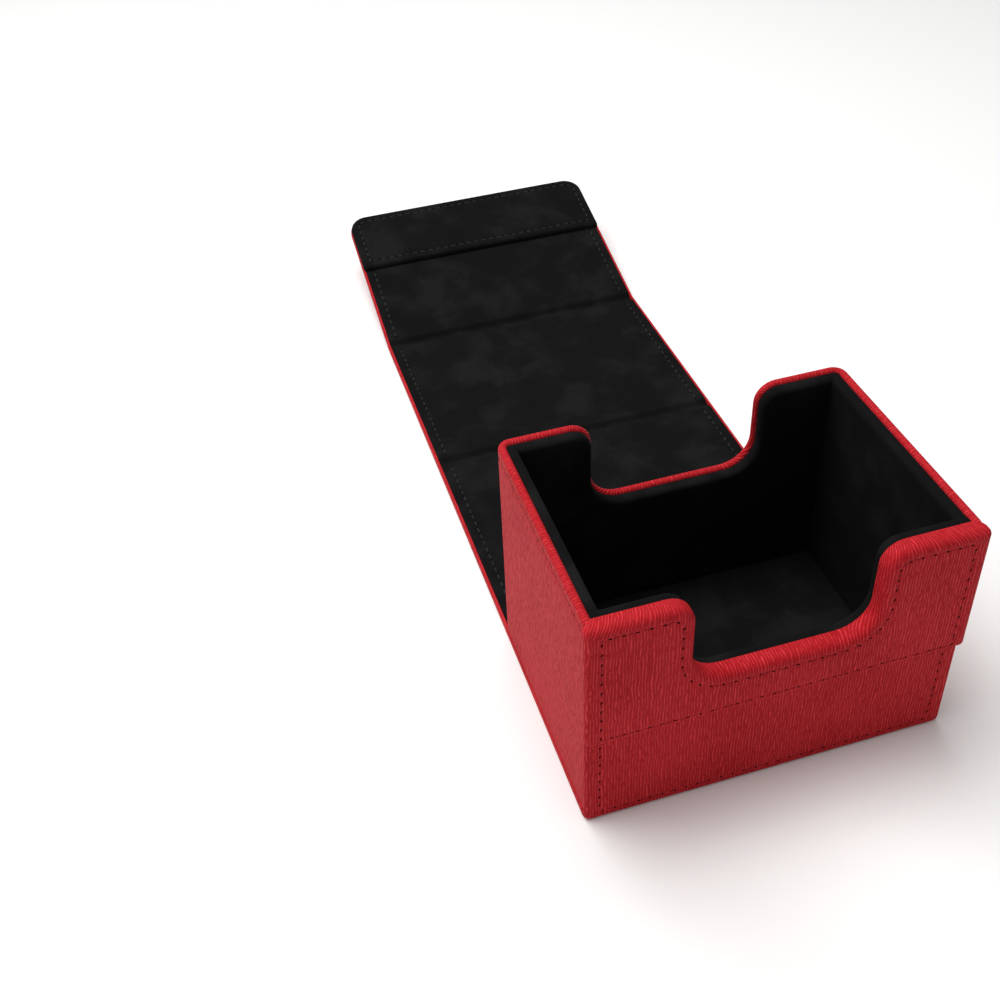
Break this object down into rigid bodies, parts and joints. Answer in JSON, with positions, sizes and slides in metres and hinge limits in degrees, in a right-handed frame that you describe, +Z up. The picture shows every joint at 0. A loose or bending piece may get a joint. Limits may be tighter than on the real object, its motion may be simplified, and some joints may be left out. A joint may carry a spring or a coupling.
{
  "type": "card deck box",
  "caption": "Open-topped leather-wrapped deck box with thumb notches and a wrap-round magnetic cover of hinged stiff panels laid open behind it",
  "frame": {"origin": "middle of the box's footprint on the table, between the lower front face and the rear face", "axes": "+X to the right seen from the front, +Y from the front to the rear, along the open cover, +Z up"},
  "size_m": [0.1068, 0.3073, 0.075],
  "materials": {
    "red_leather": "semi-gloss coated leather with a fine embossed line grain",
    "red_thread": "matt polyester sewing thread",
    "black_thread": "matt polyester sewing thread",
    "microsuede": "brushed microsuede with a short nap",
    "greyboard": "dense grey bookbinder's board, uncoated",
    "magnet": "nickel-plated neodymium disc"
  },
  "bodies": {
    "box": {"apron_board": "greyboard", "apron_seam": "red_thread", "base_board": "greyboard", "base_leather": "red_leather", "body_wrap": "red_leather", "bottom_board": "greyboard", "box_left_magnet": "magnet", "box_right_magnet": "magnet", "floor_liner_board": "greyboard", "floor_liner_cloth": "microsuede", "front_liner_board": "greyboard", "front_liner_cloth": "microsuede", "front_panel_board": "greyboard", "front_panel_leather": "red_leather", "front_panel_seam": "red_thread", "front_wall_board": "greyboard", "left_liner_board": "greyboard", "left_liner_cloth": "microsuede", "left_rim_seam": "red_thread", "left_wall_board": "greyboard", "rear_liner_board": "greyboard", "rear_liner_cloth": "microsuede", "rear_rim_seam": "red_thread", "rear_wall_board": "greyboard", "right_liner_board": "greyboard", "right_liner_cloth": "microsuede", "right_rim_seam": "red_thread", "right_wall_board": "greyboard"},
    "back_panel": {"back_board": "greyboard", "back_leather": "red_leather", "back_left_lining_seam": "black_thread", "back_left_outer_seam": "red_thread", "back_lining": "microsuede", "back_right_lining_seam": "black_thread", "back_right_outer_seam": "red_thread"},
    "top_panel": {"top_board": "greyboard", "top_leather": "red_leather", "top_left_lining_seam": "black_thread", "top_left_outer_seam": "red_thread", "top_lining": "microsuede", "top_right_lining_seam": "black_thread", "top_right_outer_seam": "red_thread"},
    "front_flap": {"flap_board": "greyboard", "flap_leather": "red_leather", "flap_left_lining_seam": "black_thread", "flap_left_magnet": "magnet", "flap_lining": "microsuede", "flap_outer_seam": "red_thread", "flap_right_lining_seam": "black_thread", "flap_right_magnet": "magnet", "pocket_board": "greyboard", "pocket_cloth": "microsuede", "pocket_seam": "black_thread"}
  },
  "joints": [
    {"name": "base_fold", "type": "hinge", "parent": "box", "child": "back_panel", "pos_m": [0, 0.0371, 0.003], "axis": [1, 0, 0], "range_deg": [0, 90]},
    {"name": "top_fold", "type": "hinge", "parent": "back_panel", "child": "top_panel", "pos_m": [0, 0.1181, 0.003], "axis": [1, 0, 0], "range_deg": [0, 96.17]},
    {"name": "flap_fold", "type": "hinge", "parent": "top_panel", "child": "front_flap", "pos_m": [0, 0.19625, 0.003], "axis": [1, 0, 0], "range_deg": [-15, 68.83]}
  ]
}
